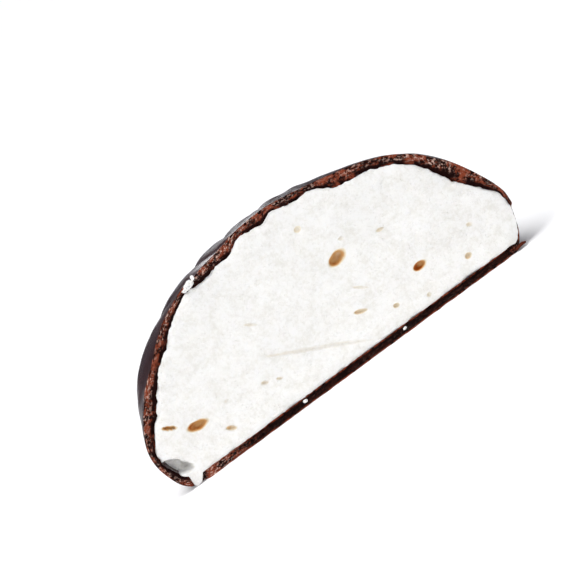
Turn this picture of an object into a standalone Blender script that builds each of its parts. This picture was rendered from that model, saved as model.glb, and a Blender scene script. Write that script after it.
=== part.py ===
"""Half of a chocolate covered marshmallow, cut through the middle with a knife.

The whole piece is a low dome of marshmallow, piped through a star nozzle so that soft ridges run up
its side and turn towards an eye on top, and then dipped in dark chocolate. The half stands on its flat
base with the cut face towards -Y. Two solids make it: the chocolate coat, a thin shell that also runs
under the marshmallow and is open at the cut, and the marshmallow that fills it.

Lengths are in metres. The dome's axis is at x = 0, y = 0 while it is shaped, and at the end both solids
are moved so that the origin is at the middle of the underside of the box round them.
"""

import bmesh
import bpy
import numpy as np
from math import cos, log, pi, radians, sin
from mathutils import Matrix, Vector

MM = 0.001

# Overall form
WIDTH = 58.3 * MM
DEPTH = 27.6 * MM
HEIGHT = 24.0 * MM
WIDE_LEVEL = 6.0 * MM
FOOT_INSET = 3.4 * MM
SHOULDER = 2.12

# Piped ridges: each groove crosses the cut again at half its distance from the eye
RIDGES = 10
RIDGE_RISE = 2.3 * MM
RIDGE_MIDDLE = 0.85
RIDGE_SWEEP = 2 * pi / RIDGES / log(2)
RIDGE_SKEW = 0.7
GROOVE_AT = 23.4 * MM
SOFT_GROOVE = 0.34
SHARP_GROOVE = 0.12
FILLED_GROOVE = 0.9
BROAD_WANDER = 0.5
FINE_WANDER = 0.35

# Where the ridges fade: in the eye, towards the foot, at the cut, and unevenly round the dome
EYE = 4.5 * MM
EYE_EDGE = 0.3 * EYE
EYE_END = 3.4 * EYE
FOOT_RIDGE = 0.35
FOOT_LEVELS = (-0.9, 0.2)
CUT_RIDGE = 0.2
CUT_DEPTHS = (5.0 * MM, 17.0 * MM)
UNEVEN_MEAN = 0.8
UNEVEN_SPREAD = 0.45
UNEVEN_LIMITS = (0.15, 1.4)
UNEVEN_LENGTH = 24.0 * MM

# Chocolate coat
RIDGE_COAT = 0.85 * MM
GROOVE_COAT = 2.0 * MM
BASE_COAT = 1.2 * MM
THIN_COAT = 0.45
THIN_SPOT = (28.0 * MM, 0.0, 5.0 * MM)
THIN_REACH = 5.0 * MM
FIT_GAP = 0.3 * MM

# The coat where the knife went through, as bearing from the middle of the base in degrees, 0 at the right
# end, and thickness in millimetres
CUT_COAT = (
    (0, 0.8),
    (8, 0.85),
    (14.5, 1.0),
    (18, 1.3),
    (24, 2.0),
    (30, 2.4),
    (33, 2.1),
    (40, 1.6),
    (46, 1.4),
    (56, 1.4),
    (61, 1.9),
    (66, 1.8),
    (72, 1.0),
    (75, 0.8),
    (78, 1.3),
    (84, 1.0),
    (88, 1.0),
    (91, 1.6),
    (96, 1.2),
    (99, 0.9),
    (103, 1.4),
    (107, 1.6),
    (112, 1.3),
    (116, 1.4),
    (123, 0.8),
    (132, 1.2),
    (139, 1.4),
    (143, 1.1),
    (150, 1.5),
    (157, 1.9),
    (163, 1.5),
    (168, 0.9),
    (180, 0.8),
)
CUT_COAT_REACH = 6.0 * MM

# How far the dome swells out or draws in at the cut, as bearing in degrees and millimetres
CUT_SWELL = (
    (0, -0.9),
    (7, -0.7),
    (14, 0.1),
    (20, -0.6),
    (27, -0.8),
    (34, -0.4),
    (42, -0.05),
    (50, 0.3),
    (60, 0.35),
    (70, 0.2),
    (80, 0.25),
    (90, 0.45),
    (100, 0.45),
    (110, 0.0),
    (120, 0.3),
    (130, 0.15),
    (140, -0.2),
    (148, -0.4),
    (155, -0.65),
    (162, 0.0),
    (168, 0.9),
    (174, 0.2),
    (180, 0.4),
)
SWELL_WIDTH = 5.5
SWELL_REACHES = (16.0 * MM, 6.0 * MM)
SWELL_REACH_BEARINGS = (10.0, 60.0)

# Chocolate that pooled round the foot, with a few drips
SKIRT_REACH = 2.4 * MM
SKIRT_MEAN = 0.45
SKIRT_BROAD = 0.3
SKIRT_FINE = 0.25
SKIRT_HEIGHT = 0.8 * MM
SKIRT_START = 0.22
DRIPS = ((radians(38), 1.9 * MM), (radians(96), 1.2 * MM), (radians(131), 2.1 * MM))
DRIP_WIDTH = radians(3.2)

# Slow unevenness of the whole form, from just above the foot
SLUMP = 0.5 * MM
SLUMP_LENGTH = 21.0 * MM
SLUMP_LEVELS = (-1.0, -0.2)

# Fine waves in one patch on the back
RIPPLE = 0.2 * MM
RIPPLE_LENGTH = 5.2 * MM
RIPPLE_HEADING = radians(24)
RIPPLE_PATCH = (3.0 * MM, 15.0 * MM)
RIPPLE_CORE = 4.8 * MM
RIPPLE_RADIUS = 12.0 * MM
RIPPLE_BEND = 1.3 * MM
RIPPLE_BEND_LENGTH = 12.0 * MM
RIPPLE_DEPTHS = (1.0 * MM, 8.0 * MM)

# Pockets that the knife opened, in millimetres: x, z, length, width, tilt in degrees, depth
POCKETS = (
    (5.6, 13.5, 2.7, 1.5, 16, 0.9),
    (14.1, 6.3, 1.9, 1.0, 2, 0.7),
    (-21.5, 6.5, 2.7, 1.3, -10, 0.8),
)
CORNER_HOLLOW = (-26.6, 3.6, 4.2, 2.2, -42, 1.2)
POCKET_SEGMENTS = 12
POCKET_RINGS = 8

# Colours and gloss
CHOCOLATE = (0.022, 0.007, 0.006)
CHOCOLATE_ROUGHNESS = 0.28
MARSHMALLOW = (0.9, 0.88, 0.82)
MARSHMALLOW_ROUGHNESS = 0.75

# Facets
COLUMNS = 64
INNER_COLUMNS = 40
FOOT_ROWS = 7
DOME_ROWS = 32
TOP_CROWDING = 1.25
SHARP_ANGLE = radians(65)

# Random waves
WAVES = 14
WAVE_SPREAD = (0.7, 1.5)
SLUMP_SEED = 14
RIPPLE_SEED = 12
UNEVEN_SEED = 13


def slow_noise(points, length, seed):
    """Smooth unevenness from -1 to 1, of about this wavelength, made of waves in random directions."""
    rng = np.random.default_rng(seed)
    total = np.zeros(points.shape[:-1])
    for _ in range(WAVES):
        heading = rng.normal(size=3)
        heading *= 2 * pi / (length * rng.uniform(*WAVE_SPREAD) * np.linalg.norm(heading))
        total += np.sin(points @ heading + rng.uniform(0, 2 * pi))
    return total / np.sqrt(WAVES)


def smooth_step(low, high, value):
    """0 below low, 1 above high, and a smooth rise between them."""
    share = np.clip((value - low) / (high - low), 0, 1)
    return share * share * (3 - 2 * share)


def plain_dome(turn, tilt):
    """The dome without ridges, and its outward direction. tilt is -90 degrees at the foot, 90 at the top."""
    up = np.clip(tilt, 0, pi / 2)
    down = np.clip(-tilt, 0, pi / 2)
    across = np.cos(up) ** (2 / SHOULDER)
    level = WIDE_LEVEL + (HEIGHT - WIDE_LEVEL) * np.sin(up) ** (2 / SHOULDER)
    level -= WIDE_LEVEL * np.sin(down)
    inset = FOOT_INSET * (1 - np.cos(down))
    x = (WIDTH / 2 * across - inset) * np.cos(turn)
    y = (DEPTH * across - inset) * np.sin(turn)
    flat = np.cos(up) * (HEIGHT - WIDE_LEVEL)
    rise = np.sin(up) * WIDTH / 2
    size = np.hypot(flat, rise)
    outward = np.stack((flat / size * np.cos(turn), flat / size * np.sin(turn), rise / size), axis=-1)
    return np.stack((x, y, level), axis=-1), outward


def ridge_phase(turn, points):
    """Phase of the piped ridges, 0 in a groove. They climb the side and sweep round into the eye on top."""
    reach = np.hypot(points[..., 0], points[..., 1])
    sweep = np.log(np.maximum(reach, EYE_EDGE) / GROOVE_AT)
    broad = BROAD_WANDER * np.sin(turn) * np.sin(2 * turn + 2 * sweep + 0.6)
    fine = FINE_WANDER * np.sin(3 * turn) * np.sin(4 * turn)
    return RIDGES * (turn + RIDGE_SWEEP * sweep) + broad + fine


def groove_softness(points):
    """Softness of the coat's grooves, which chocolate fills more and more towards the eye."""
    reach = np.hypot(points[..., 0], points[..., 1])
    return FILLED_GROOVE + (SOFT_GROOVE - FILLED_GROOVE) * smooth_step(EYE_EDGE, EYE_END, reach)


def ridge_wave(phase, softness):
    """1 on the crest of a ridge and 0 in a groove. One flank is steeper, as ridges fold over each other."""
    half = np.sin((phase + RIDGE_SKEW * np.sin(phase)) / 2)
    return (np.sqrt(half**2 + softness**2) - softness) / (np.sqrt(1 + softness**2) - softness)


def ridge_strength(turn, tilt, points):
    """How far the ridges stand out: less at the cut and the foot, none in the eye, uneven round the dome."""
    reach = np.hypot(points[..., 0], points[..., 1])
    from_eye = smooth_step(EYE_EDGE, EYE_END, reach)
    from_foot = FOOT_RIDGE + (1 - FOOT_RIDGE) * smooth_step(*FOOT_LEVELS, tilt / (pi / 2))
    from_cut = CUT_RIDGE + (1 - CUT_RIDGE) * smooth_step(*CUT_DEPTHS, points[..., 1])
    uneven = UNEVEN_MEAN + UNEVEN_SPREAD * slow_noise(points, UNEVEN_LENGTH, UNEVEN_SEED)
    return from_eye * from_foot * from_cut * np.clip(uneven, *UNEVEN_LIMITS)


def skirt(turn, level):
    """Reach of the pooled chocolate at the foot, which thins out towards the cut."""
    clear_of_cut = smooth_step(0, SKIRT_START, np.sin(turn))
    broad = SKIRT_BROAD * np.sin(4 * turn + 0.4)
    fine = SKIRT_FINE * np.sin(9 * turn + 2.2)
    reach = SKIRT_REACH * (SKIRT_MEAN + broad + fine)
    for place, length in DRIPS:
        reach = reach + length * np.exp(-(((turn - place) / DRIP_WIDTH) ** 2))
    return clear_of_cut * np.clip(reach, 0, None) * np.exp(-((level / SKIRT_HEIGHT) ** 2))


def ripples(points):
    """Fine waves that cooling air left in the coat, in one patch on the back."""
    path = points[..., 0] * cos(RIPPLE_HEADING) + points[..., 2] * sin(RIPPLE_HEADING)
    path = path + RIPPLE_BEND * slow_noise(points, RIPPLE_BEND_LENGTH, RIPPLE_SEED)
    away = np.hypot(points[..., 0] - RIPPLE_PATCH[0], points[..., 2] - RIPPLE_PATCH[1])
    inside = 1 - smooth_step(RIPPLE_CORE, RIPPLE_RADIUS, away)
    behind = smooth_step(*RIPPLE_DEPTHS, points[..., 1])
    return RIPPLE * inside * behind * np.sin(2 * pi * path / RIPPLE_LENGTH)


def thickness_at_cut(points):
    """The coat's thickness in the cut, where it steps over the edges of the piped ridges."""
    bearing = np.degrees(np.arctan2(points[..., 2], points[..., 0]))
    places, thick = np.array(CUT_COAT).T
    return np.interp(bearing, places, thick) * MM


def swelling(points):
    """How far the dome near the cut stands out beyond its plain form, or lies behind it."""
    bearing = np.degrees(np.arctan2(points[..., 2], points[..., 0]))
    places, rise = np.array(CUT_SWELL).T
    weight = np.exp(-(((bearing[..., None] - places) / SWELL_WIDTH) ** 2))
    share = weight @ rise / weight.sum(axis=-1)
    reach = np.interp(bearing, SWELL_REACH_BEARINGS, SWELL_REACHES)
    return share * MM * smooth_step(1, 0, points[..., 1] / reach)


def coat_thickness(phase, points):
    """Thin over the crests, thick in the grooves, and chipped thin at the right end of the cut."""
    reach = np.hypot(points[..., 0], points[..., 1])
    groove = (1 - ridge_wave(phase, SHARP_GROOVE)) ** 2 * smooth_step(EYE_EDGE, EYE, reach)
    thick = RIDGE_COAT + (GROOVE_COAT - RIDGE_COAT) * groove
    from_cut = smooth_step(0, CUT_COAT_REACH, points[..., 1])
    thick = from_cut * thick + (1 - from_cut) * thickness_at_cut(points)
    away = np.linalg.norm(points - np.array(THIN_SPOT), axis=-1)
    return thick * (1 - (1 - THIN_COAT) * np.exp(-((away / THIN_REACH) ** 2)))


def dome(turn, tilt, depth=None):
    """Points on the outside of the coat, or under it where depth says how far in from its inner side."""
    points, outward = plain_dome(turn, tilt)
    phase = ridge_phase(turn, points)
    ridge = ridge_wave(phase, groove_softness(points)) - RIDGE_MIDDLE
    out = RIDGE_RISE * ridge_strength(turn, tilt, points) * ridge
    settled = smooth_step(*SLUMP_LEVELS, tilt / (pi / 2))
    out = out + settled * SLUMP * slow_noise(points, SLUMP_LENGTH, SLUMP_SEED)
    out = out + ripples(points) + swelling(points)
    if depth is not None:
        out = out - coat_thickness(phase, points) - depth
    shaped = points + out[..., None] * outward
    low = tilt < 0
    if depth is None:
        reach = skirt(turn, points[..., 2]) * low
        shaped[..., 0] += reach * np.cos(turn)
        shaped[..., 1] += reach * np.sin(turn)
    else:
        floor = BASE_COAT + depth
        lifted = floor + (WIDE_LEVEL - floor) * points[..., 2] / WIDE_LEVEL
        shaped[..., 2] = np.where(low, lifted, shaped[..., 2])
    return shaped


def grid(columns):
    """Turn and tilt of every point of a surface, foot row first. The top row is one point, the top."""
    foot = np.linspace(-pi / 2, 0, FOOT_ROWS, endpoint=False)
    side = pi / 2 * (1 - (1 - np.linspace(0, 1, DOME_ROWS)) ** TOP_CROWDING)
    tilt = np.concatenate((foot, side))
    return np.meshgrid(np.linspace(0, pi, columns + 1), tilt)


def flatten_cut(points):
    """Puts the first and last column exactly into the plane of the cut."""
    points[:, 0, 1] = 0
    points[:, -1, 1] = 0
    return points


def add_dome(mesh, points, inward=False):
    """Adds a dome's faces to a bmesh and returns its rows of vertices. The diagonals run along the ridges."""
    rows = [[mesh.verts.new(p) for p in row] for row in points[:-1]]
    top = mesh.verts.new(points[-1, 0])
    faces = []
    for low, high in zip(rows, rows[1:]):
        for i in range(len(low) - 1):
            faces.append((low[i], low[i + 1], high[i + 1]))
            faces.append((low[i], high[i + 1], high[i]))
    last = rows[-1]
    for i in range(len(last) - 1):
        faces.append((last[i], last[i + 1], top))
    for face in faces:
        mesh.faces.new(face[::-1] if inward else face)
    return rows, top


def finish_object(mesh, name, colour, roughness):
    """Makes a named object with a plain material from a bmesh."""
    bmesh.ops.recalc_face_normals(mesh, faces=mesh.faces)
    data = bpy.data.meshes.new(name)
    mesh.to_mesh(data)
    mesh.free()
    material = bpy.data.materials.new(name)
    material.use_nodes = True
    shader = material.node_tree.nodes["Principled BSDF"]
    shader.inputs["Base Color"].default_value = (*colour, 1)
    shader.inputs["Roughness"].default_value = roughness
    data.materials.append(material)
    part = bpy.data.objects.new(name, data)
    bpy.context.scene.collection.objects.link(part)
    return part


def chocolate_coat():
    """The shell of chocolate: outside, inside, underside, floor and the rim that the cut left."""
    outer = dome(*grid(COLUMNS))
    inner = dome(*grid(INNER_COLUMNS), depth=0)
    mesh = bmesh.new()
    outside, outer_top = add_dome(mesh, flatten_cut(outer))
    inside, inner_top = add_dome(mesh, flatten_cut(inner), inward=True)
    mesh.faces.new(outside[0][::-1])
    mesh.faces.new(inside[0])
    for end, flip in ((0, False), (-1, True)):
        out_line = [row[end] for row in outside] + [outer_top]
        in_line = [row[end] for row in inside] + [inner_top]
        for i in range(len(out_line) - 1):
            face = (out_line[i], out_line[i + 1], in_line[i + 1], in_line[i])
            mesh.faces.new(face[::-1] if flip else face)
    mesh.faces.new((outside[0][0], inside[0][0], inside[0][-1], outside[0][-1]))
    part = finish_object(mesh, "chocolate_coat", CHOCOLATE, CHOCOLATE_ROUGHNESS)
    part.data.shade_smooth()
    part.data.set_sharp_from_angle(angle=SHARP_ANGLE)
    return part


def pocket_cutter(pockets):
    """One mesh of the air pockets that the knife opened, each a small stretched ball in the cut face."""
    mesh = bmesh.new()
    for x, z, length, width, tilt, depth in pockets:
        place = Matrix.Translation(Vector((x, 0, z)) * MM) @ Matrix.Rotation(radians(-tilt), 4, "Y")
        stretch = Matrix.Diagonal((length * MM / 2, depth * MM, width * MM / 2, 1))
        bmesh.ops.create_uvsphere(
            mesh,
            u_segments=POCKET_SEGMENTS,
            v_segments=POCKET_RINGS,
            radius=1,
            matrix=place @ stretch,
        )
    cutter = finish_object(mesh, "pocket_cutter", MARSHMALLOW, MARSHMALLOW_ROUGHNESS)
    cutter.hide_render = True
    cutter.display_type = "WIRE"
    return cutter


def marshmallow(cutter):
    """The filling: its ridged back, its flat underside and the cut face with the larger pockets in it."""
    points = flatten_cut(dome(*grid(INNER_COLUMNS), depth=FIT_GAP))
    mesh = bmesh.new()
    rows, top = add_dome(mesh, points)
    mesh.faces.new(rows[0][::-1])
    right = [row[0] for row in rows]
    left = [row[-1] for row in rows]
    mesh.faces.new(left + [top] + right[::-1])
    part = finish_object(mesh, "marshmallow", MARSHMALLOW, MARSHMALLOW_ROUGHNESS)
    cut = part.modifiers.new("pockets", "BOOLEAN")
    cut.operation = "DIFFERENCE"
    cut.solver = "EXACT"
    cut.object = cutter
    return part


def centre_on_box(parts, cutter):
    """Moves everything so that the origin is at the middle of the underside of the box round the coat."""
    corners = np.array([v.co for part in parts for v in part.data.vertices])
    low, high = corners.min(axis=0), corners.max(axis=0)
    shift = Matrix.Translation((-(low[0] + high[0]) / 2, -(low[1] + high[1]) / 2, -low[2]))
    for part in (*parts, cutter):
        part.data.transform(shift)


def main():
    for old in list(bpy.data.objects):
        bpy.data.objects.remove(old)
    cutter = pocket_cutter(POCKETS + (CORNER_HOLLOW,))
    parts = [chocolate_coat(), marshmallow(cutter)]
    centre_on_box(parts, cutter)


main()
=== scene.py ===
"""Looks of a chocolate covered marshmallow that a knife has cut in half.

The dome of piped marshmallow and its dark coat have the CAD part's shape, made by the same formulas on a
much finer grid. On top of it come the things that a camera close by sees: the ragged edge where the coat
broke, the foam of the cut face with its syrup pockets, rubbed ridges, small dents, flakes and crumbs. The
lighter colour of the rubbed ridges and of the pale flakes near the outside of the broken edge is partly
painted highlight.

Lengths are in metres unless a name or comment says otherwise. The dome's axis is at x = 0, y = 0 while
the pieces are shaped. At the end they are set into the box of the CAD part.
"""

from math import cos, log, pi, radians, sin, tan

import bpy
import numpy as np
from mathutils import Matrix, Quaternion, Vector


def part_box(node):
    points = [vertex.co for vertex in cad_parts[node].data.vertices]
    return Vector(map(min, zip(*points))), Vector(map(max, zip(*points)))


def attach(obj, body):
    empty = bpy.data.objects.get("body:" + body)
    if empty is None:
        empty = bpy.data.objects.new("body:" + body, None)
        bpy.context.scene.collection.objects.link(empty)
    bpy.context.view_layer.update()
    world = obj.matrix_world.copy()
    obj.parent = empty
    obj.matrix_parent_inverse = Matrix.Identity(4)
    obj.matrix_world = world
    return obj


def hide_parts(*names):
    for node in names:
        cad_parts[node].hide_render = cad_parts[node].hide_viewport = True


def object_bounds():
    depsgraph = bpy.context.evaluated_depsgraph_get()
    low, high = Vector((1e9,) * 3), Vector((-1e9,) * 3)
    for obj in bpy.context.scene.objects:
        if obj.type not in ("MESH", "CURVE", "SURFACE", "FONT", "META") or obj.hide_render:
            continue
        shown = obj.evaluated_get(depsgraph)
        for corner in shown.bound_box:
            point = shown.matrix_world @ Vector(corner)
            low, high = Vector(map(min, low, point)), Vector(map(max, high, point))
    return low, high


MM = 0.001
COAT = "chocolate_coat"
FILLING = "marshmallow"

# Overall form, as in the CAD part
WIDTH = 58.3 * MM
DEPTH = 27.6 * MM
HEIGHT = 24.0 * MM
WIDE_LEVEL = 6.0 * MM
FOOT_INSET = 3.4 * MM
SHOULDER = 2.12

# Piped ridges: each groove crosses the cut again at half its distance from the eye
RIDGES = 10
RIDGE_RISE = 2.3 * MM
RIDGE_MIDDLE = 0.85
RIDGE_SWEEP = 2 * pi / RIDGES / log(2)
RIDGE_SKEW = 0.7
GROOVE_AT = 23.4 * MM
SOFT_GROOVE = 0.34
SHARP_GROOVE = 0.12
FILLED_GROOVE = 0.9
BROAD_WANDER = 0.5
FINE_WANDER = 0.35

# Where the ridges fade: in the eye, towards the foot, at the cut, and unevenly round the dome. They begin
# further behind the cut than in the CAD part, which keeps the outline of the cut smooth.
EYE = 4.5 * MM
EYE_EDGE = 0.3 * EYE
EYE_END = 3.4 * EYE
FOOT_RIDGE = 0.35
FOOT_LEVELS = (-0.9, 0.2)
CUT_RIDGE = 0.2
CUT_DEPTHS = (8.0 * MM, 19.0 * MM)
UNEVEN_MEAN = 0.8
UNEVEN_SPREAD = 0.45
UNEVEN_LIMITS = (0.15, 1.4)
UNEVEN_LENGTH = 24.0 * MM

# Chocolate coat
RIDGE_COAT = 0.85 * MM
GROOVE_COAT = 2.0 * MM
BASE_COAT = 1.2 * MM
THIN_COAT = 0.45
THIN_SPOT = (28.0 * MM, 0.0, 5.0 * MM)
THIN_REACH = 5.0 * MM

# The coat where the knife went through, as bearing from the middle of the base in degrees, 0 at the right
# end, and thickness in millimetres
CUT_COAT = (
    (0, 0.8),
    (8, 0.85),
    (14.5, 1.0),
    (18, 1.3),
    (24, 2.0),
    (30, 2.4),
    (33, 2.1),
    (40, 1.6),
    (46, 1.4),
    (56, 1.4),
    (61, 1.9),
    (66, 1.8),
    (72, 1.0),
    (75, 0.8),
    (78, 1.3),
    (84, 1.0),
    (88, 1.0),
    (91, 1.6),
    (96, 1.2),
    (99, 0.9),
    (103, 1.4),
    (107, 1.6),
    (112, 1.3),
    (116, 1.4),
    (123, 0.8),
    (132, 1.2),
    (139, 1.4),
    (143, 1.1),
    (150, 1.5),
    (157, 1.9),
    (163, 1.5),
    (168, 0.9),
    (180, 0.8),
)
CUT_COAT_REACH = 6.0 * MM

# How far the dome swells out or draws in at the cut, as bearing in degrees and millimetres
CUT_SWELL = (
    (0, -0.9),
    (7, -0.7),
    (14, 0.1),
    (20, -0.6),
    (27, -0.8),
    (34, -0.4),
    (42, -0.05),
    (50, 0.3),
    (60, 0.35),
    (70, 0.2),
    (80, 0.25),
    (90, 0.45),
    (100, 0.45),
    (110, 0.0),
    (120, 0.3),
    (130, 0.15),
    (140, -0.2),
    (148, -0.4),
    (155, -0.65),
    (162, 0.0),
    (168, 0.9),
    (174, 0.2),
    (180, 0.4),
)
SWELL_WIDTH = 5.5
SWELL_REACHES = (16.0 * MM, 6.0 * MM)
SWELL_REACH_BEARINGS = (10.0, 60.0)

# Chocolate that pooled round the foot, with a few drips
SKIRT_REACH = 2.4 * MM
SKIRT_MEAN = 0.45
SKIRT_BROAD = 0.3
SKIRT_FINE = 0.25
SKIRT_HEIGHT = 0.8 * MM
SKIRT_START = 0.22
DRIPS = ((radians(38), 1.9 * MM), (radians(96), 1.2 * MM), (radians(131), 2.1 * MM))
DRIP_WIDTH = radians(3.2)

# Slow unevenness of the whole form, from just above the foot
SLUMP = 0.5 * MM
SLUMP_LENGTH = 21.0 * MM
SLUMP_LEVELS = (-1.0, -0.2)

# Fine waves in one patch on the back
RIPPLE = 0.2 * MM
RIPPLE_LENGTH = 5.2 * MM
RIPPLE_HEADING = radians(24)
RIPPLE_PATCH = (3.0 * MM, 15.0 * MM)
RIPPLE_CORE = 4.8 * MM
RIPPLE_RADIUS = 12.0 * MM
RIPPLE_BEND = 1.3 * MM
RIPPLE_BEND_LENGTH = 12.0 * MM
RIPPLE_DEPTHS = (1.0 * MM, 8.0 * MM)

# Dents and swellings of the coat, which the solids leave out: wavelength and height. They are stronger in
# patches, and RELIEF_BETWEEN is their share elsewhere.
RELIEF = ((2.6 * MM, 0.05 * MM), (6.0 * MM, 0.07 * MM))
RELIEF_PATCHES = 15.0 * MM
RELIEF_PATCH_EDGE = (-0.3, 1.0)
RELIEF_BETWEEN = 0.4
RELIEF_DEPTHS = (0.0, 9.0 * MM)
RELIEF_AT_CUT = 0.3

# Ragged inner edge of the coat in the cut, which the solids leave out: wavelength and height, and reach
RAGGED = ((0.8 * MM, 0.05 * MM), (2.0 * MM, 0.09 * MM))
RAGGED_REACH = 1.5 * MM

# The broken edge of the coat: how far it lies behind the cut, waves of that, as wavelength and height, and
# larger chips. What lies within CHIP_REACH of the cut moves back with the edge.
CHIP_MEAN = 0.16 * MM
CHIPS = ((1.1 * MM, 0.09 * MM), (3.4 * MM, 0.12 * MM))
LARGE_CHIPS = 6.5 * MM
LARGE_CHIP_DEPTH = 0.8 * MM
LARGE_CHIP_START = 0.75
CHIP_REACH = 1.6 * MM
CHIP_LIMITS = (0.02 * MM, CHIP_REACH / 2)
BREAK_ROUGHNESS = ((0.42 * MM, 0.07 * MM), (1.0 * MM, 0.1 * MM))

# Places where the coat is gone at the cut, in mm: x, z, full radius, end; and how far the foam reaches out
# there, from 0 to 1
BARE_PLACES = ((27.5, 2.8, 2.3, 3.1, 0.35), (-26.1, 0.7, 0.5, 1.5, 1.0))
BARE_EDGE = 1.1 * MM
BARE_DEPTH = 1.4 * MM

# Pockets in the cut face, in mm: x, z, length, width, tilt in degrees, depth, and how much syrup shows
POCKETS = (
    (4.9, 13.5, 2.7, 1.5, 16, 0.9, 0.8),
    (13.4, 6.3, 1.9, 1.0, 2, 0.7, 1.0),
    (-22.2, 6.5, 2.7, 1.3, -10, 0.8, 0.85),
    (-25.5, 8.4, 1.9, 0.5, -34, 0.5, 0.9),
    (-18.9, 3.6, 1.4, 0.55, -34, 0.25, 0.6),
    (19.5, 3.5, 1.0, 0.75, 10, 0.35, 0.5),
    (21.9, 6.8, 0.8, 0.6, -20, 0.2, 0.28),
    (11.7, 13.2, 1.2, 0.5, -10, 0.2, 0.3),
    (2.8, 19.6, 1.0, 0.8, 0, 0.2, 0.3),
    (3.5, 6.0, 1.7, 0.6, -20, 0.3, 0.5),
    (7.9, 3.8, 0.9, 0.6, -12, 0.3, 0.45),
    (12.3, 2.4, 0.7, 0.6, 0, 0.25, 0.25),
    (5.4, 8.5, 2.2, 0.4, -36, 0.15, 0.2),
    (-9.3, 13.1, 1.9, 0.4, -34, 0.15, 0.2),
    (-12.0, 5.8, 1.1, 0.45, -30, 0.2, 0.32),
    (-10.1, 5.1, 1.0, 0.4, -28, 0.2, 0.3),
    (-17.4, 6.9, 0.7, 0.5, 0, 0.15, 0.15),
    (6.8, 15.3, 0.8, 0.5, -20, 0.15, 0.2),
)

# The hollow in the lower left corner, with a deeper place in it, and a long crease, given in the same way
CORNER_HOLLOWS = (
    (-27.6, 3.7, 4.4, 1.9, -38, 2.0, 0.0),
    (-26.4, 3.0, 1.4, 1.0, -38, 0.6, 0.0),
)
CREASE = (-3.2, 5.1, 15.0, 0.6, -27, 0.2, 0.15)

# Where the side of a pocket begins and ends, as shares of the way from its middle to its outline. The
# hollow's sides are steeper.
POCKET_EDGE = (1.2, 0.5)
HOLLOW_EDGE = (1.08, 0.78)
POCKET_WOBBLE = 0.07
POCKET_WOBBLE_LENGTH = 1.5 * MM

# Syrup: its edge, and its tone, which changes along the pocket and deepens towards the outline
SYRUP_EDGE = (1.3, 0.8)
SYRUP_TONE = 0.9
SYRUP_ALONG = 0.25
SYRUP_RIM = 0.2
SYRUP_RIM_EDGE = (0.2, 0.9)

# Waves of the cut face, as wavelength and height, and the rounding of its edge
FACE_WAVES = ((9.0 * MM, 0.12 * MM), (2.2 * MM, 0.03 * MM))
EDGE_ROUNDING = 0.22 * MM
EDGE_REACH = 0.5 * MM
FACE_MIDDLE = 14.0 * MM
OVERLAP = 0.04 * MM

# Lumps that stick to the cut, in mm: x, z, length, width, thickness, tilt in degrees.
# White: two crumbs on the base strip, and a scrap and a crumb on the rim. Brown: a spur at the right end.
FOAM_LUMPS = (
    (7.1, 0.7, 0.5, 0.32, 0.3, 10),
    (-9.0, 0.7, 0.55, 0.4, 0.35, -15),
    (-13.2, 21.9, 1.9, 0.85, 0.8, 14),
    (-12.0, 22.5, 0.7, 0.4, 0.6, 40),
)
CHOCOLATE_LUMPS = ((25.9, 0.45, 2.0, 0.45, 0.45, 4),)
LUMP_ROUGHNESS = ((1.0, 0.26), (0.4, 0.13))
LUMP_SEGMENTS = 40

# Rubbed marks on the coat, partly painted highlights on the ridges' lips: on which flank of the ridges they
# lie, in which patches, and how ragged they are
RUB_AND_HIGHLIGHT_FLANK = 0.9
RUB_AND_HIGHLIGHT_FLANK_EDGE = (0.55, 0.95)
RUB_AND_HIGHLIGHT_PATCHES = 9.0 * MM
RUB_AND_HIGHLIGHT_PATCH_EDGE = (0.35, 1.2)
RUB_AND_HIGHLIGHT_RAGS = 1.4 * MM
RUB_AND_HIGHLIGHT_RAG_EDGE = (-0.4, 0.8)

# Fine grids, and the angles from which an edge of them is drawn sharp
COLUMNS = 320
INNER_COLUMNS = 60
FOOT_ROWS = 36
DOME_ROWS = 170
TOP_CROWDING = 1.25
BASE_POINTS = 280
BREAK_RINGS = 10
FACE_RINGS = 120
COAT_SHARP = radians(50)
FOAM_SHARP = radians(60)

# Random waves
WAVES = 14
WAVE_SPREAD = (0.7, 1.5)
SLUMP_SEED = 14
RIPPLE_SEED = 12
UNEVEN_SEED = 13
RELIEF_PATCH_SEED = 30
RELIEF_SEED = 31
RAGGED_SEED = 36
OUTER_CHIP_SEED = 41
INNER_CHIP_SEED = 51
LARGE_CHIP_SEED_STEP = 5
BREAK_SEED = 61
FACE_SEED = 71
POCKET_SEED = 81
RUB_AND_HIGHLIGHT_SEED = 91
LUMP_SEED = 101

# Colours
DARK_CHOCOLATE = (0.0215, 0.0062, 0.0068, 1)
PALE_CHOCOLATE = (0.033, 0.0105, 0.0112, 1)
CHOCOLATE_SHEEN = (1.0, 0.84, 0.92, 1)
# Rubbed chocolate; on the ridges' lips this lighter colour is also a painted highlight
RUBBED_CHOCOLATE_AND_HIGHLIGHT = (0.15, 0.075, 0.058, 1)
SPECK = (0.32, 0.19, 0.14, 1)
BREAK_DARK = (0.01, 0.0016, 0.0012, 1)
BREAK_BLACK = (0.006, 0.0014, 0.0012, 1)
BREAK_RED = (0.25, 0.055, 0.026, 1)
# Pale flakes; near the outside of the broken edge they are partly painted highlights
BREAK_LIGHT = (0.68, 0.45, 0.37, 1)
FOAM = (0.945, 0.936, 0.908, 1)
FOAM_SHADE = (0.845, 0.83, 0.785, 1)
SYRUP_PALE = (0.8, 0.71, 0.54, 1)
SYRUP = (0.68, 0.38, 0.14, 1)
SYRUP_DARK = (0.46, 0.11, 0.008, 1)

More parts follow.
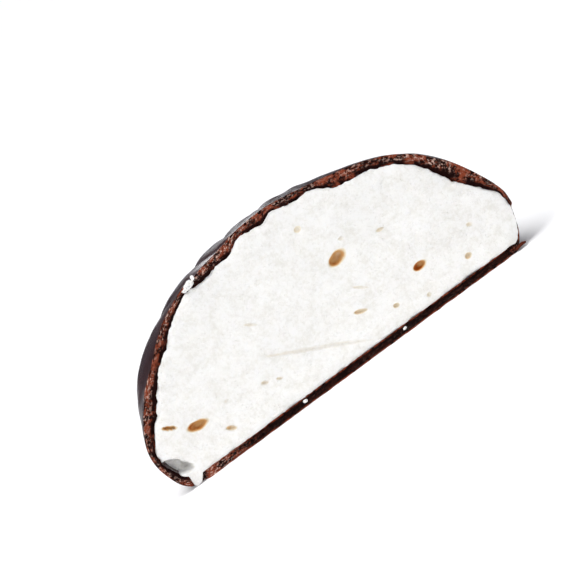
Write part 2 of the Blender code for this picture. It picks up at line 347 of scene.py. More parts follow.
# Surfaces: roughness from smooth to rough places, strength of reflection, and height of the fine relief
CHOCOLATE_ROUGHNESS = (0.26, 0.38)
RUBBED_ROUGHER = 0.25
CHOCOLATE_REFLECTION = 0.32
CHOCOLATE_BUMPS = 0.08 * MM
CHOCOLATE_MOTTLE = 0.026 * MM
BROKEN_ROUGHNESS = (0.35, 0.62)
BROKEN_REFLECTION = 0.04
BROKEN_BUMPS = 0.16 * MM
DRY_FOAM_ROUGHNESS = 0.78
SYRUP_ROUGHNESS = 0.42
FOAM_REFLECTION = 0.25
FOAM_BUMPS = 0.09 * MM
FOAM_PORES = 0.05 * MM
FOAM_GLOW = 0.35
FOAM_GLOW_REACH = 0.9 * MM
FOAM_GLOW_COLOURS = (1.0, 0.92, 0.8)

# The broken edge is drawn unrolled. Its width counts as this many millimetres there.
BREAK_WIDTH = 2.4

# The base strip's left end, red-brown with pale flakes: where each begins and is full, in mm from the middle
RED_END = (-14.0, -22.0)
PALE_END = (-17.0, -23.0)

# Stage
FLOOR_SIZE = 6.0
PAPER = (0.93, 0.93, 0.935, 1)
PAPER_ROUGHNESS = 0.9
PAPER_REFLECTION = 0.1
PAPER_GLOW = 0.12
SURROUNDING = (0.86, 0.88, 1.0, 1)
SURROUNDING_STRENGTH = 0.16

# Lights from far away: direction, strength, width in degrees, colour
FAR_LIGHTS = {
    "broad_light": ((-0.24, -0.21, 0.95), 2.6, 45, (1.0, 1.0, 1.0)),
    "low_light": ((0.1, 0.93, 0.3), 0.16, 10, (0.96, 0.98, 1.0)),
    "left_light": ((-0.8, 0.55, 0.22), 0.45, 30, (0.96, 0.98, 1.0)),
}

# Square soft boxes: place, size, radiance, colour
SOFT_BOXES = {
    "left_box": ((-0.34, -0.30, 0.30), 0.20, 5.4, (1.0, 0.99, 0.98)),
    "right_box": ((0.40, -0.22, 0.24), 0.16, 3.4, (1.0, 0.99, 0.98)),
}

# Camera
CAMERA_AZIMUTH = radians(-8)
CAMERA_ELEVATION = radians(10)
CAMERA_ROLL = radians(34.6)
LENS = 180.0
SENSOR = 36.0
FILL = 0.76


def slow_noise(points, length, seed):
    """Smooth unevenness from -1 to 1, of about this wavelength, made of waves in random directions."""
    rng = np.random.default_rng(seed)
    total = np.zeros(points.shape[:-1])
    for _ in range(WAVES):
        heading = rng.normal(size=3)
        heading *= 2 * pi / (length * rng.uniform(*WAVE_SPREAD) * np.linalg.norm(heading))
        total += np.sin(points @ heading + rng.uniform(0, 2 * pi))
    return total / np.sqrt(WAVES)


def several_waves(points, waves, seed):
    """A sum of slow noises, each given as wavelength and height."""
    return sum(height * slow_noise(points, length, seed + i) for i, (length, height) in enumerate(waves))


def smooth_step(low, high, value):
    """0 below low, 1 above high, and a smooth rise between them."""
    share = np.clip((value - low) / (high - low), 0, 1)
    return share * share * (3 - 2 * share)


def plain_dome(turn, tilt):
    """The dome without ridges, and its outward direction. tilt is -90 degrees at the foot, 90 at the top."""
    up = np.clip(tilt, 0, pi / 2)
    down = np.clip(-tilt, 0, pi / 2)
    across = np.cos(up) ** (2 / SHOULDER)
    level = WIDE_LEVEL + (HEIGHT - WIDE_LEVEL) * np.sin(up) ** (2 / SHOULDER)
    level -= WIDE_LEVEL * np.sin(down)
    inset = FOOT_INSET * (1 - np.cos(down))
    x = (WIDTH / 2 * across - inset) * np.cos(turn)
    y = (DEPTH * across - inset) * np.sin(turn)
    flat = np.cos(up) * (HEIGHT - WIDE_LEVEL)
    rise = np.sin(up) * WIDTH / 2
    size = np.hypot(flat, rise)
    outward = np.stack((flat / size * np.cos(turn), flat / size * np.sin(turn), rise / size), axis=-1)
    return np.stack((x, y, level), axis=-1), outward


def ridge_phase(turn, points):
    """Phase of the piped ridges, 0 in a groove. They climb the side and sweep round into the eye on top."""
    reach = np.hypot(points[..., 0], points[..., 1])
    sweep = np.log(np.maximum(reach, EYE_EDGE) / GROOVE_AT)
    broad = BROAD_WANDER * np.sin(turn) * np.sin(2 * turn + 2 * sweep + 0.6)
    fine = FINE_WANDER * np.sin(3 * turn) * np.sin(4 * turn)
    return RIDGES * (turn + RIDGE_SWEEP * sweep) + broad + fine


def groove_softness(points):
    """Softness of the coat's grooves, which chocolate fills more and more towards the eye."""
    reach = np.hypot(points[..., 0], points[..., 1])
    return FILLED_GROOVE + (SOFT_GROOVE - FILLED_GROOVE) * smooth_step(EYE_EDGE, EYE_END, reach)


def ridge_wave(phase, softness):
    """1 on the crest of a ridge and 0 in a groove. One flank is steeper, as ridges fold over each other."""
    half = np.sin((phase + RIDGE_SKEW * np.sin(phase)) / 2)
    return (np.sqrt(half**2 + softness**2) - softness) / (np.sqrt(1 + softness**2) - softness)


def ridge_strength(turn, tilt, points):
    """How far the ridges stand out: less at the cut and the foot, none in the eye, uneven round the dome."""
    reach = np.hypot(points[..., 0], points[..., 1])
    from_eye = smooth_step(EYE_EDGE, EYE_END, reach)
    from_foot = FOOT_RIDGE + (1 - FOOT_RIDGE) * smooth_step(*FOOT_LEVELS, tilt / (pi / 2))
    from_cut = CUT_RIDGE + (1 - CUT_RIDGE) * smooth_step(*CUT_DEPTHS, points[..., 1])
    uneven = UNEVEN_MEAN + UNEVEN_SPREAD * slow_noise(points, UNEVEN_LENGTH, UNEVEN_SEED)
    return from_eye * from_foot * from_cut * np.clip(uneven, *UNEVEN_LIMITS)


def skirt(turn, level):
    """Reach of the pooled chocolate at the foot, which thins out towards the cut."""
    clear_of_cut = smooth_step(0, SKIRT_START, np.sin(turn))
    broad = SKIRT_BROAD * np.sin(4 * turn + 0.4)
    fine = SKIRT_FINE * np.sin(9 * turn + 2.2)
    reach = SKIRT_REACH * (SKIRT_MEAN + broad + fine)
    for place, length in DRIPS:
        reach = reach + length * np.exp(-(((turn - place) / DRIP_WIDTH) ** 2))
    return clear_of_cut * np.clip(reach, 0, None) * np.exp(-((level / SKIRT_HEIGHT) ** 2))


def ripples(points):
    """Fine waves that cooling air left in the coat, in one patch on the back."""
    path = points[..., 0] * cos(RIPPLE_HEADING) + points[..., 2] * sin(RIPPLE_HEADING)
    path = path + RIPPLE_BEND * slow_noise(points, RIPPLE_BEND_LENGTH, RIPPLE_SEED)
    away = np.hypot(points[..., 0] - RIPPLE_PATCH[0], points[..., 2] - RIPPLE_PATCH[1])
    inside = 1 - smooth_step(RIPPLE_CORE, RIPPLE_RADIUS, away)
    behind = smooth_step(*RIPPLE_DEPTHS, points[..., 1])
    return RIPPLE * inside * behind * np.sin(2 * pi * path / RIPPLE_LENGTH)


def thickness_at_cut(points):
    """The coat's thickness in the cut, where it steps over the edges of the piped ridges."""
    bearing = np.degrees(np.arctan2(points[..., 2], points[..., 0]))
    places, thick = np.array(CUT_COAT).T
    return np.interp(bearing, places, thick) * MM


def swelling(points):
    """How far the dome near the cut stands out beyond its plain form, or lies behind it."""
    bearing = np.degrees(np.arctan2(points[..., 2], points[..., 0]))
    places, rise = np.array(CUT_SWELL).T
    weight = np.exp(-(((bearing[..., None] - places) / SWELL_WIDTH) ** 2))
    share = weight @ rise / weight.sum(axis=-1)
    reach = np.interp(bearing, SWELL_REACH_BEARINGS, SWELL_REACHES)
    return share * MM * smooth_step(1, 0, points[..., 1] / reach)


def coat_thickness(phase, points):
    """Thin over the crests, thick in the grooves, and chipped thin at the right end of the cut."""
    reach = np.hypot(points[..., 0], points[..., 1])
    groove = (1 - ridge_wave(phase, SHARP_GROOVE)) ** 2 * smooth_step(EYE_EDGE, EYE, reach)
    thick = RIDGE_COAT + (GROOVE_COAT - RIDGE_COAT) * groove
    from_cut = smooth_step(0, CUT_COAT_REACH, points[..., 1])
    thick = from_cut * thick + (1 - from_cut) * thickness_at_cut(points)
    away = np.linalg.norm(points - np.array(THIN_SPOT), axis=-1)
    return thick * (1 - (1 - THIN_COAT) * np.exp(-((away / THIN_REACH) ** 2)))


def dome(turn, tilt, depth=None):
    """Points on the outside of the coat, or under it where depth says how far in from its inner side."""
    points, outward = plain_dome(turn, tilt)
    phase = ridge_phase(turn, points)
    ridge = ridge_wave(phase, groove_softness(points)) - RIDGE_MIDDLE
    out = RIDGE_RISE * ridge_strength(turn, tilt, points) * ridge
    settled = smooth_step(*SLUMP_LEVELS, tilt / (pi / 2))
    out = out + settled * SLUMP * slow_noise(points, SLUMP_LENGTH, SLUMP_SEED)
    out = out + ripples(points) + swelling(points)
    if depth is None:
        patches = smooth_step(*RELIEF_PATCH_EDGE, slow_noise(points, RELIEF_PATCHES, RELIEF_PATCH_SEED))
        share = RELIEF_AT_CUT + (1 - RELIEF_AT_CUT) * smooth_step(*RELIEF_DEPTHS, points[..., 1])
        share = share * (RELIEF_BETWEEN + (1 - RELIEF_BETWEEN) * patches)
        out = out + settled * share * several_waves(points, RELIEF, RELIEF_SEED)
    else:
        ragged = several_waves(points, RAGGED, RAGGED_SEED) * smooth_step(RAGGED_REACH, 0, points[..., 1])
        out = out - coat_thickness(phase, points) - ragged - depth
    shaped = points + out[..., None] * outward
    low = tilt < 0
    if depth is None:
        reach = skirt(turn, points[..., 2]) * low
        shaped[..., 0] += reach * np.cos(turn)
        shaped[..., 1] += reach * np.sin(turn)
    else:
        floor = BASE_COAT + depth
        lifted = floor + (WIDE_LEVEL - floor) * points[..., 2] / WIDE_LEVEL
        shaped[..., 2] = np.where(low, lifted, shaped[..., 2])
    shaped[:, (0, -1), 1] = 0
    return shaped


def grid(columns):
    """Turn and tilt of every point of a surface, foot row first. The top row is one point, the top."""
    foot = np.linspace(-pi / 2, 0, FOOT_ROWS, endpoint=False)
    side = pi / 2 * (1 - (1 - np.linspace(0, 1, DOME_ROWS)) ** TOP_CROWDING)
    tilt = np.concatenate((foot, side))
    return np.meshgrid(np.linspace(0, pi, columns + 1), tilt)


def base_line(points):
    """Points along the straight edge of the base in the cut, from the left end to the right one."""
    share = np.linspace(0, 1, BASE_POINTS + 2)[1:-1, None]
    return points[0, -1] + (points[0, 0] - points[0, -1]) * share


class PieceMesh:
    """Points and faces of one object, gathered part by part."""

    def __init__(self):
        self.points = []
        self.faces = []
        self.slots = []
        self.count = 0

    def add_points(self, points):
        """Adds points and returns their numbers, in the same arrangement."""
        self.points.append(points.reshape(-1, 3))
        start = self.count
        self.count += len(self.points[-1])
        return np.arange(start, self.count).reshape(points.shape[:-1])

    def add_faces(self, faces, slot=0, flip=False):
        for face in faces:
            self.faces.append(face[::-1] if flip else face)
            self.slots.append(slot)

    def add_grid(self, numbers, slot=0, flip=False):
        """Quads between the rows and columns of an array of point numbers."""
        corners = (numbers[:-1, :-1], numbers[:-1, 1:], numbers[1:, 1:], numbers[1:, :-1])
        quads = np.stack([corner.ravel() for corner in corners], axis=-1)
        self.add_faces(quads.tolist(), slot, flip)

    def add_dome(self, points, slot=0, flip=False):
        """A dome with one point on top. Returns the numbers of its rows and of the top."""
        rows = self.add_points(points[:-1])
        top = self.add_points(points[-1, :1])
        self.add_grid(rows, slot, flip)
        last = rows[-1].tolist()
        tip = int(top[0])
        self.add_faces([[a, b, tip] for a, b in zip(last, last[1:])], slot, flip)
        return rows, top

    def build(self, name, materials, sharp):
        data = bpy.data.meshes.new(name)
        data.from_pydata(np.concatenate(self.points).tolist(), [], self.faces)
        data.polygons.foreach_set("material_index", self.slots)
        for material in materials:
            data.materials.append(material)
        data.shade_smooth()
        data.set_sharp_from_angle(angle=sharp)
        data.update()
        piece = bpy.data.objects.new(name, data)
        bpy.context.scene.collection.objects.link(piece)
        return piece


def bare(points):
    """1 where the coat is gone at the cut, 0 elsewhere; and how far the foam reaches out there."""
    share = np.zeros(points.shape[:-1])
    filled = np.zeros(points.shape[:-1])
    for x, z, full, end, foam_reach in BARE_PLACES:
        away = np.hypot(points[..., 0] / MM - x, points[..., 2] / MM - z)
        here = smooth_step(end, full, away)
        share = np.maximum(share, here)
        filled = np.maximum(filled, foam_reach * here)
    return share, filled


def chip_depth(points, seed):
    """How far the coat's broken edge lies behind the cut there: a ragged line with a few larger chips."""
    in_cut = points * np.array((1, 0, 1))
    large = slow_noise(in_cut, LARGE_CHIPS, seed + LARGE_CHIP_SEED_STEP)
    large = np.clip(large - LARGE_CHIP_START, 0, None)
    depth = CHIP_MEAN + several_waves(in_cut, CHIPS, seed) + LARGE_CHIP_DEPTH * large
    depth = np.clip(depth, *CHIP_LIMITS)
    return depth + (BARE_DEPTH - depth) * bare(points)[0]


def set_back(points, seed):
    """Moves the coat's edge back from the cut by the chips, and what lies just behind it by less."""
    back = chip_depth(points, seed)
    squeezed = back + points[..., 1] * (CHIP_REACH - back) / CHIP_REACH
    points[..., 1] = np.where(points[..., 1] < CHIP_REACH, squeezed, points[..., 1])
    return points


def closed_loop(rows, top, base):
    """Numbers along the cut: up the right side, down the left side and back along the base."""
    loop = np.concatenate((rows[:, 0], top, rows[::-1, -1], base))
    return np.append(loop, loop[0])


def rub_and_highlight_marks(turn, points):
    """Where the coat is rubbed lighter: along the sharper side of the ridges, in patches.

    The same lighter colour also paints highlights on the ridges' lips.
    """
    phase = ridge_phase(turn, points)
    lip = smooth_step(*RUB_AND_HIGHLIGHT_FLANK_EDGE, np.sin(phase - RUB_AND_HIGHLIGHT_FLANK))
    reach = np.hypot(points[..., 0], points[..., 1])
    patches = smooth_step(*RUB_AND_HIGHLIGHT_PATCH_EDGE, slow_noise(points, RUB_AND_HIGHLIGHT_PATCHES, RUB_AND_HIGHLIGHT_SEED))
    ragged = smooth_step(*RUB_AND_HIGHLIGHT_RAG_EDGE, slow_noise(points, RUB_AND_HIGHLIGHT_RAGS, RUB_AND_HIGHLIGHT_SEED + 1))
    return lip * patches * ragged * smooth_step(EYE_EDGE, EYE_END, reach)


def store(piece, name, values):
    """Keeps one number a vertex with the mesh, for its material."""
    attribute = piece.data.attributes.new(name, "FLOAT", "POINT")
    attribute.data.foreach_set("value", values.astype(np.float32))


def coat_piece(materials):
    """The chocolate coat: glossy outside, hidden inside, underside, and the broken edge round the cut."""
    mesh = PieceMesh()
    turn, tilt = grid(COLUMNS)
    outside = set_back(dome(turn, tilt), OUTER_CHIP_SEED)
    inside = set_back(dome(*grid(INNER_COLUMNS), depth=0), INNER_CHIP_SEED)
    out_rows, out_top = mesh.add_dome(outside)
    in_rows, in_top = mesh.add_dome(inside, flip=True)
    out_line = base_line(outside)
    in_line = base_line(inside)
    out_line[:, 1] = chip_depth(out_line, OUTER_CHIP_SEED)
    in_line[:, 1] = chip_depth(in_line, INNER_CHIP_SEED)
    out_base = mesh.add_points(out_line)
    in_base = mesh.add_points(in_line)
    mesh.add_faces([np.concatenate((out_rows[0], out_base)).tolist()], flip=True)
    mesh.add_faces([np.concatenate((in_rows[0], in_base)).tolist()])

    every = np.concatenate(mesh.points)
    out_loop = closed_loop(out_rows, out_top, out_base)
    in_loop = closed_loop(in_rows, in_top, in_base)
    share = np.linspace(0, 1, BREAK_RINGS + 1)[1:-1, None, None]
    across = every[out_loop[:-1]] + (every[in_loop[:-1]] - every[out_loop[:-1]]) * share
    rough = several_waves(across, BREAK_ROUGHNESS, BREAK_SEED)
    across[..., 1] += rough * np.sqrt(np.sin(pi * share[..., 0]))
    between = mesh.add_points(across)
    between = np.concatenate((between, between[:, :1]), axis=1)
    mesh.add_grid(np.concatenate((out_loop[None], between, in_loop[None])), slot=1)

    piece = mesh.build("coat_shell", materials, COAT_SHARP)
    # Rub marks, whose lighter colour is partly a painted highlight on the ridges' lips
    rub_and_highlight = np.zeros(mesh.count)
    rub_and_highlight[out_rows.ravel()] = rub_and_highlight_marks(turn, outside)[:-1].ravel()
    store(piece, "rub_and_highlight", rub_and_highlight)
    layer = np.zeros(mesh.count)
    layer[in_loop] = 1
    layer[between[:, :-1]] = share[..., 0]
    store(piece, "layer", layer)
    strip = np.zeros(mesh.count)
    strip[np.concatenate((out_base, in_base))] = 1
    strip[between[:, -1 - BASE_POINTS : -1]] = 1
    store(piece, "strip", strip)
    along = np.zeros(mesh.count)
    steps = np.linalg.norm(np.diff(every[out_loop], axis=0), axis=-1)
    path = np.concatenate(((0,), np.cumsum(steps)[:-1]))
    along[out_loop[:-1]] = path
    along[in_loop[:-1]] = path
    along[between[:, :-1]] = path
    store(piece, "along", along / MM)
    return piece


def pocket_distance(points, pocket):
    """0 in the middle of a pocket and 1 on its outline, which wobbles a little; and the place along it."""
    x, z, length, width, tilt = pocket[:5]
    dx = points[..., 0] / MM - x
    dz = points[..., 2] / MM - z
    along = (dx * cos(radians(tilt)) + dz * sin(radians(tilt))) / (length / 2)
    aside = (dz * cos(radians(tilt)) - dx * sin(radians(tilt))) / (width / 2)
    wobble = 1 + POCKET_WOBBLE * slow_noise(points, POCKET_WOBBLE_LENGTH, POCKET_SEED)
    return np.hypot(along, aside) * wobble, along


def cut_face_depth(points, edge_distance):
    """How far the foam lies behind the cut: slow waves, a rounded edge, and the pockets."""
    depth = several_waves(points, FACE_WAVES, FACE_SEED)
    depth = depth + EDGE_ROUNDING * np.exp(-edge_distance / EDGE_REACH)
    for pocket in (*POCKETS, *CORNER_HOLLOWS, CREASE):
        distance, _ = pocket_distance(points, pocket)
        edge = HOLLOW_EDGE if pocket in CORNER_HOLLOWS else POCKET_EDGE
        depth = depth + pocket[5] * MM * smooth_step(*edge, distance)
    return depth


def syrup(points):
    """How much syrup shows: strong in the pockets, darker towards one end of each."""
    shown = np.zeros(points.shape[:-1])
    for pocket in (*POCKETS, CREASE):
        distance, along = pocket_distance(points, pocket)
        rim = SYRUP_RIM * smooth_step(*SYRUP_RIM_EDGE, distance)
        tone = pocket[6] * (SYRUP_TONE - SYRUP_ALONG * np.clip(along, -1, 1) + rim)
        shown = np.maximum(shown, tone * smooth_step(*SYRUP_EDGE, distance))
    return shown


def filling_piece(materials):
    """The marshmallow: its cut face with pockets, and the hidden back just inside the coat."""
    mesh = PieceMesh()
    calm = dome(*grid(INNER_COLUMNS), depth=-OVERLAP)
    reach_out = dome(*grid(INNER_COLUMNS)) - calm
    back = calm + reach_out * (bare(calm)[1] * smooth_step(BARE_EDGE, 0, calm[..., 1]))[..., None]
    outline = np.concatenate((calm[:, 0], calm[-2::-1, -1], base_line(calm)))
    middle = np.array((0, 0, FACE_MIDDLE))
    share = 1 - np.linspace(0, 1, FACE_RINGS + 1)[:-1, None, None]
    rings = middle + (outline - middle) * share
    rings[0] = np.concatenate((back[:, 0], back[-2::-1, -1], base_line(calm)))
    edge_distance = (1 - share[..., 0]) * np.linalg.norm(outline - middle, axis=-1)
    amber = syrup(rings)
    rings[..., 1] = cut_face_depth(rings, edge_distance)
    rows = len(back)
    back[:, 0, 1] = rings[0, :rows, 1]
    back[:-1, -1, 1] = rings[0, rows : 2 * rows - 1, 1][::-1]

    back_rows, back_top = mesh.add_dome(back)
    base = mesh.add_points(rings[0, 2 * rows - 1 :])
    mesh.add_faces([np.concatenate((back_rows[0], base)).tolist()], flip=True)
    loop = closed_loop(back_rows, back_top, base)
    face = mesh.add_points(rings[1:])
    around = np.concatenate((face, face[:, :1]), axis=1)
    tip = int(mesh.add_points(middle[None])[0])
    mesh.add_grid(np.concatenate((loop[None], around)))
    last = around[-1].tolist()
    mesh.add_faces([[a, b, tip] for a, b in zip(last, last[1:])])

    piece = mesh.build("marshmallow_filling", materials, FOAM_SHARP)
    values = np.zeros(mesh.count)
    values[loop[:-1]] = amber[0]
    values[face.ravel()] = amber[1:].ravel()
    store(piece, "syrup", values)
    return piece


def lumps_piece(name, lumps, material):
    """Small rough lumps that stick to the cut. The lower half of each sits in what it sticks to."""
    mesh = PieceMesh()
    longitude = np.linspace(0, 2 * pi, LUMP_SEGMENTS + 1)
    around, up = np.meshgrid(longitude, np.linspace(0, pi, LUMP_SEGMENTS // 2 + 1))
    ball = np.stack((np.sin(up) * np.cos(around), np.cos(up), np.sin(up) * np.sin(around)), axis=-1)
    for x, z, length, width, thickness, tilt in lumps:
        size = np.array((length, thickness * 2, width)) / 2
        offset = np.array((x, 0, z))
        swell = 1 + several_waves(ball * size + offset, LUMP_ROUGHNESS, LUMP_SEED)
        points = ball * size * swell[..., None]
        turned = points.copy()
        turned[..., 0] = points[..., 0] * cos(radians(tilt)) - points[..., 2] * sin(radians(tilt))
        turned[..., 2] = points[..., 0] * sin(radians(tilt)) + points[..., 2] * cos(radians(tilt))
        placed = (turned + offset) * MM
        placed[..., 1] += CHIP_MEAN
        rows = mesh.add_points(placed[1:-1, :-1])
        tips = mesh.add_points(placed[(0, -1), 0])
        ring = np.concatenate((rows, rows[:, :1]), axis=1)
        mesh.add_grid(ring, flip=True)
        first = ring[0].tolist()
        last = ring[-1].tolist()
        mesh.add_faces([[int(tips[0]), a, b] for a, b in zip(first, first[1:])], flip=True)
        mesh.add_faces([[b, a, int(tips[1])] for a, b in zip(last, last[1:])], flip=True)
    return mesh.build(name, [material], FOAM_SHARP)


class Nodes:
    """Builds the node tree of one material. Its textures are in millimetres."""

    def __init__(self, name):
        self.material = bpy.data.materials.new(name)
        self.material.use_nodes = True
        self.tree = self.material.node_tree
        self.shader = self.tree.nodes["Principled BSDF"]

    def add(self, kind, inputs=None, **settings):
        """Adds a node. An input may be a value or another node's output."""
        node = self.tree.nodes.new(kind)
        for name, value in settings.items():
            setattr(node, name, value)
        for name, value in (inputs or {}).items():
            self.plug(node.inputs[name], value)
        return node

    def plug(self, socket, value):
        if isinstance(value, bpy.types.NodeSocket):
            self.tree.links.new(value, socket)
        else:
            socket.default_value = value

    def place(self):
        """The place on the object, in millimetres."""
        metres = self.add("ShaderNodeTexCoord").outputs["Object"]
        return self.add("ShaderNodeVectorMath", {0: metres, "Scale": 1 / MM}, operation="SCALE").outputs[0]

    def noise(self, per_mm, detail=2.0, roughness=0.5, place=None):
        """Noise with this many features a millimetre."""
        if place is None:
            place = self.place()
        inputs = {"Vector": place, "Scale": per_mm, "Detail": detail, "Roughness": roughness}
        return self.add("ShaderNodeTexNoise", inputs).outputs["Fac"]

    def cells(self, per_mm):
        """Distance to the nearest of random points, and a random number for that point's cell."""
        node = self.add("ShaderNodeTexVoronoi", {"Vector": self.place(), "Scale": per_mm})
        number = self.add("ShaderNodeSeparateColor", {"Color": node.outputs["Color"]}).outputs[0]
        return node.outputs["Distance"], number

    def spread(self, value, low, high, to_low=0.0, to_high=1.0):
        """Maps low..high smoothly to to_low..to_high."""
        inputs = {"Value": value, "From Min": low, "From Max": high, "To Min": to_low, "To Max": to_high}
        return self.add("ShaderNodeMapRange", inputs, interpolation_type="SMOOTHSTEP").outputs[0]

    def mix(self, share, first, second):
        """Mixes two colours."""
        inputs = {"Factor": share, 6: first, 7: second}
        return self.add("ShaderNodeMix", inputs, data_type="RGBA").outputs[2]

    def times(self, first, second):
        return self.add("ShaderNodeMath", {0: first, 1: second}, operation="MULTIPLY").outputs[0]

    def plus(self, first, second):
        return self.add("ShaderNodeMath", {0: first, 1: second}, operation="ADD").outputs[0]

    def attribute(self, name):
        return self.add("ShaderNodeAttribute", attribute_name=name).outputs["Fac"]

    def bump(self, height, metres, normal=None):
        """Bumps as high as this where height runs from 0 to 1."""
        inputs = {"Height": height, "Distance": metres}
        if normal is not None:
            inputs["Normal"] = normal
        return self.add("ShaderNodeBump", inputs).outputs["Normal"]


def chocolate_material():
    """Satin dark chocolate: faintly mottled, rubbed lighter on some ridges, with a few pale specks.

    The lighter colour on the ridges' lips is partly a painted highlight.
    """
    nodes = Nodes("dark_chocolate_satin")
    tone = nodes.mix(nodes.spread(nodes.noise(0.16, 3), 0.4, 0.68), DARK_CHOCOLATE, PALE_CHOCOLATE)
    # Lighter rub marks on the ridges' lips, partly painted highlights
    rub_and_highlight = nodes.times(nodes.attribute("rub_and_highlight"), nodes.spread(nodes.noise(1.7, 4, 0.7), 0.38, 0.66))
    tone = nodes.mix(rub_and_highlight, tone, RUBBED_CHOCOLATE_AND_HIGHLIGHT)
    distance, number = nodes.cells(0.42)
    speck = nodes.times(nodes.spread(distance, 0.1, 0.045), nodes.spread(number, 0.86, 0.99))
    tone = nodes.mix(speck, tone, SPECK)
    nodes.plug(nodes.shader.inputs["Base Color"], tone)
    gloss = nodes.spread(nodes.noise(0.22, 3), 0.35, 0.7, *CHOCOLATE_ROUGHNESS)
    nodes.plug(nodes.shader.inputs["Roughness"], nodes.plus(gloss, nodes.times(rub_and_highlight, RUBBED_ROUGHER)))
    mottle = nodes.bump(nodes.noise(1.3, 3, 0.6), CHOCOLATE_MOTTLE)
    nodes.plug(nodes.shader.inputs["Normal"], nodes.bump(nodes.noise(0.45, 2), CHOCOLATE_BUMPS, mottle))
    nodes.shader.inputs["Specular IOR Level"].default_value = CHOCOLATE_REFLECTION
    nodes.shader.inputs["Specular Tint"].default_value = CHOCOLATE_SHEEN
    return nodes.material


def break_material():
    """Broken chocolate: red-brown grains between dark ones, darker inwards, pale flakes near its outside.

    The pale flakes near the outside are partly painted highlights on the edge's outer lip. The strip under
    the marshmallow is nearly black, with a red-brown line along either edge, and its left end is red-brown
    with pale flakes.
    """
    nodes = Nodes("broken_chocolate")
    layer = nodes.attribute("layer")
    flat = {"X": nodes.attribute("along"), "Y": nodes.times(layer, BREAK_WIDTH)}
    unrolled = nodes.add("ShaderNodeCombineXYZ", flat).outputs["Vector"]
    patches = nodes.spread(nodes.noise(0.5, 3, 0.6, unrolled), 0.36, 0.62, -0.14, 0.1)
    grains = nodes.plus(nodes.noise(2.1, 4, 0.72, unrolled), patches)
    tone = nodes.mix(nodes.spread(grains, 0.42, 0.6), BREAK_DARK, BREAK_RED)
    crowd = nodes.spread(nodes.noise(0.16, 2), 0.4, 0.6, 0.25, 1.0)
    flakes = nodes.spread(nodes.noise(1.9, 4, 0.72, unrolled), 0.51, 0.62)
    # Pale flakes near the outside of the broken edge, partly painted highlights on its outer lip
    outer_flakes_and_highlights = nodes.times(flakes, nodes.times(nodes.spread(layer, 0.85, 0.5), crowd))
    tone = nodes.mix(outer_flakes_and_highlights, tone, BREAK_LIGHT)
    inner = nodes.times(nodes.spread(layer, 0.45, 0.72), nodes.spread(nodes.noise(0.6, 2), 0.32, 0.52))
    tone = nodes.mix(inner, tone, BREAK_DARK)
    from_middle = nodes.add("ShaderNodeMath", {0: layer, 1: 0.5}, operation="SUBTRACT").outputs[0]
    from_middle = nodes.add("ShaderNodeMath", {0: from_middle}, operation="ABSOLUTE").outputs[0]
    edges = nodes.times(nodes.spread(from_middle, 0.3, 0.42), nodes.spread(nodes.noise(1.6, 3), 0.3, 0.6))
    strip = nodes.mix(edges, BREAK_BLACK, BREAK_RED)
    across_object = nodes.add("ShaderNodeSeparateXYZ", {"Vector": nodes.place()}).outputs["X"]
    red_end = nodes.times(nodes.spread(across_object, *RED_END), nodes.spread(grains, 0.44, 0.58))
    strip = nodes.mix(red_end, strip, BREAK_RED)
    pale_end = nodes.times(nodes.spread(across_object, *PALE_END), flakes)
    strip = nodes.mix(pale_end, strip, BREAK_LIGHT)
    tone = nodes.mix(nodes.times(nodes.attribute("strip"), 0.93), tone, strip)
    nodes.plug(nodes.shader.inputs["Base Color"], tone)
    gloss = nodes.spread(nodes.noise(1.2), 0.3, 0.7, *BROKEN_ROUGHNESS)
    nodes.plug(nodes.shader.inputs["Roughness"], gloss)
    nodes.plug(nodes.shader.inputs["Normal"], nodes.bump(nodes.noise(2.4, 4, 0.65), BROKEN_BUMPS))
    nodes.shader.inputs["Specular IOR Level"].default_value = BROKEN_REFLECTION
    return nodes.material


def marshmallow_material():
    """White foam with fine pores, and amber syrup where the pockets are."""
    nodes = Nodes("marshmallow_foam")
    mottle = nodes.plus(nodes.noise(0.5, 3, 0.6), nodes.noise(2.2, 3, 0.7))
    tone = nodes.mix(nodes.spread(mottle, 0.84, 1.32), FOAM, FOAM_SHADE)
    amount = nodes.attribute("syrup")
    uneven = nodes.plus(amount, nodes.times(amount, nodes.spread(nodes.noise(1.1), 0.3, 0.7, -0.12, 0.1)))
    tone = nodes.mix(nodes.spread(uneven, 0.04, 0.42), tone, SYRUP_PALE)
    tone = nodes.mix(nodes.spread(uneven, 0.38, 0.8), tone, SYRUP)
    tone = nodes.mix(nodes.spread(uneven, 0.8, 1.12), tone, SYRUP_DARK)
    shader = nodes.shader
    nodes.plug(shader.inputs["Base Color"], tone)
    gloss = nodes.spread(amount, 0.2, 0.8, DRY_FOAM_ROUGHNESS, SYRUP_ROUGHNESS)
    nodes.plug(shader.inputs["Roughness"], gloss)
    shader.inputs["Subsurface Weight"].default_value = FOAM_GLOW
    shader.inputs["Subsurface Radius"].default_value = FOAM_GLOW_COLOURS
    shader.inputs["Subsurface Scale"].default_value = FOAM_GLOW_REACH
    shader.inputs["Specular IOR Level"].default_value = FOAM_REFLECTION
    pores = nodes.bump(nodes.spread(nodes.cells(2.6)[0], 0.08, 0.3), FOAM_PORES)
    nodes.plug(shader.inputs["Normal"], nodes.bump(nodes.noise(2.8, 3, 0.6), FOAM_BUMPS, pores))
    return nodes.material


def centre_on_box(coat, others):
    """Moves the pieces so that the coat has the place that it has in the CAD part."""
    corners = np.array([v.co for v in coat.data.vertices])
    low, high = corners.min(axis=0), corners.max(axis=0)
    cad_low, cad_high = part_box(COAT)
    shift = Vector((-(low[0] + high[0]) / 2, cad_low.y, cad_low.z - low[2]))
    for piece in (coat, *others):
        piece.data.transform(Matrix.Translation(shift))


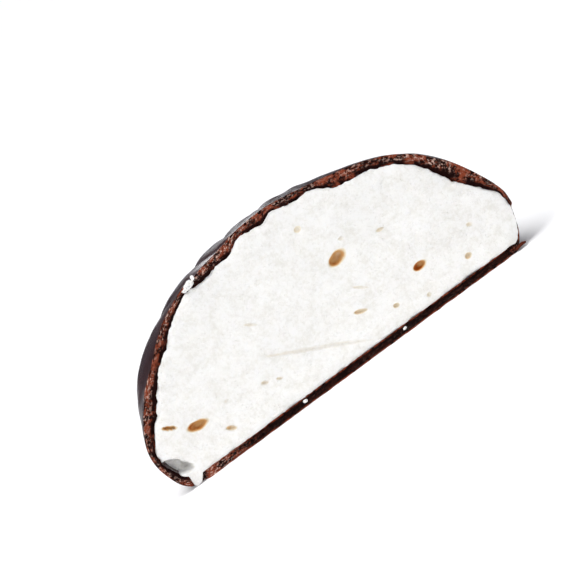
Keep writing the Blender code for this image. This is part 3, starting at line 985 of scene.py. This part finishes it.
def add_camera(low, high):
    """A camera at the photograph's viewing angle, far enough for the piece to fill its share of the frame."""
    scene = bpy.context.scene
    data = bpy.data.cameras.new("camera")
    data.lens = LENS
    data.sensor_width = SENSOR
    camera = bpy.data.objects.new("camera", data)
    scene.collection.objects.link(camera)
    centre = Vector((0, (low.y + high.y) / 2, (low.z + high.z) / 2))
    distance = (high.x - low.x) / FILL / (SENSOR / LENS)
    back = Vector((sin(CAMERA_AZIMUTH), -cos(CAMERA_AZIMUTH), tan(CAMERA_ELEVATION))).normalized()
    camera.location = centre + back * distance
    camera.rotation_mode = "QUATERNION"
    level = (-back).to_track_quat("-Z", "Y")
    camera.rotation_quaternion = Quaternion(back, -CAMERA_ROLL) @ level
    data.clip_start = distance / 100
    data.clip_end = distance * 100
    scene.camera = camera


def add_light(kind, name, direction, energy, colour):
    """A light that shines on the object from this direction."""
    data = bpy.data.lights.new(name, kind)
    data.energy = energy
    data.color = colour
    light = bpy.data.objects.new(name, data)
    bpy.context.scene.collection.objects.link(light)
    light.rotation_mode = "QUATERNION"
    light.rotation_quaternion = (-Vector(direction)).to_track_quat("-Z", "Y")
    return light


def add_stage():
    """White floor, far lights from above and from behind, soft boxes in front, a dim pale surrounding."""
    scene = bpy.context.scene
    scene.view_settings.view_transform = "Standard"
    bpy.ops.mesh.primitive_plane_add(size=FLOOR_SIZE)
    floor = bpy.context.object
    floor.name = "floor"
    paper = Nodes("white_paper")
    paper.shader.inputs["Base Color"].default_value = PAPER
    paper.shader.inputs["Roughness"].default_value = PAPER_ROUGHNESS
    paper.shader.inputs["Specular IOR Level"].default_value = PAPER_REFLECTION
    paper.shader.inputs["Emission Color"].default_value = (1, 1, 1, 1)
    paper.shader.inputs["Emission Strength"].default_value = PAPER_GLOW
    floor.data.materials.append(paper.material)

    for name, (direction, strength, width, colour) in FAR_LIGHTS.items():
        light = add_light("SUN", name, direction, strength, colour)
        light.data.angle = radians(width)
    for name, (place, size, radiance, colour) in SOFT_BOXES.items():
        light = add_light("AREA", name, place, radiance * pi * size * size, colour)
        light.data.shape = "SQUARE"
        light.data.size = size
        light.location = place

    world = bpy.data.worlds.new("surrounding")
    scene.world = world
    world.use_nodes = True
    background = world.node_tree.nodes["Background"]
    background.inputs["Color"].default_value = SURROUNDING
    background.inputs["Strength"].default_value = SURROUNDING_STRENGTH


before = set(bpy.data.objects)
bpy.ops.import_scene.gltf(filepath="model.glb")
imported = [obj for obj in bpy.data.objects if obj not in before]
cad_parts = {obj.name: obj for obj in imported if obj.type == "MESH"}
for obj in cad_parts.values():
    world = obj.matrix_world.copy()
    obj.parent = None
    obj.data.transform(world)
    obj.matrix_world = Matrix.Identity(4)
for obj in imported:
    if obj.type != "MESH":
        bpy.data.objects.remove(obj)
cad_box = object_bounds()
broken = break_material()
foam = marshmallow_material()
coat = coat_piece([chocolate_material(), broken])
flakes = lumps_piece("chocolate_flakes", CHOCOLATE_LUMPS, broken)
filling = filling_piece([foam])
crumbs = lumps_piece("foam_crumbs", FOAM_LUMPS, foam)
centre_on_box(coat, [flakes, filling, crumbs])
for piece in (coat, flakes):
    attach(piece, "root")
    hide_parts(COAT)
for piece in (filling, crumbs):
    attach(piece, "root")
    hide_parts(FILLING)
add_stage()
add_camera(*cad_box)
